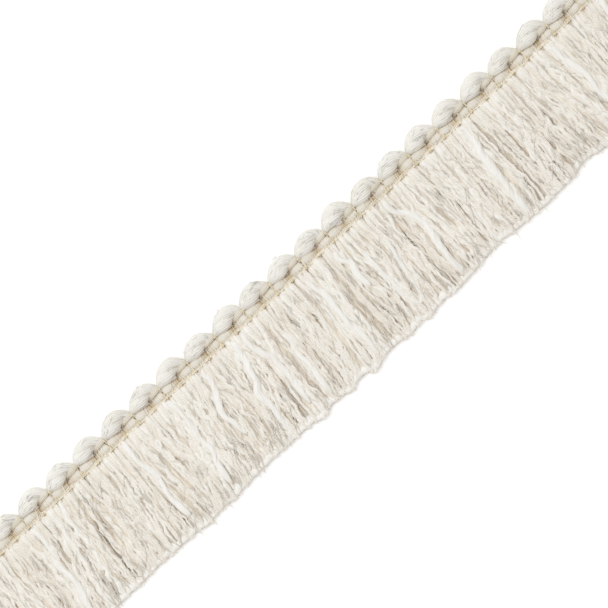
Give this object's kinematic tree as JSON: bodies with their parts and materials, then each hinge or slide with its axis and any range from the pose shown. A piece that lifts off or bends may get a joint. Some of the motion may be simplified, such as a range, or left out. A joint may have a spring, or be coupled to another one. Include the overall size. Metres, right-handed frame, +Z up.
{
  "type": "brush fringe",
  "caption": "Straight length of flat furnishing fringe: a scalloped, tied cord heading with a dense skirt of soft wavy yarn.",
  "frame": {"origin": "middle of the flat underside of the root strip, the face that is sewn or glued down, on the surface that the fringe lies on", "axes": "+X along the trim, +Y towards the scallops, so the skirt lies towards -Y, and +Z up out of the face"},
  "size_m": [0.2462, 0.0392, 0.0048],
  "materials": {
    "skirt_yarn": "matt natural cotton yarns, fine two-ply and thick soft slubs",
    "laid_yarn": "matt soft yarn laid under the ties",
    "scallop_roving": "matt thick roving with fine lengthwise fibres",
    "binding_thread": "fine ochre thread with a slight sheen"
  },
  "bodies": {
    "root": {"brush_skirt": "skirt_yarn", "filler_cord": "laid_yarn", "scallop_cord": "scallop_roving", "binding_thread": "binding_thread"}
  },
  "joints": []
}
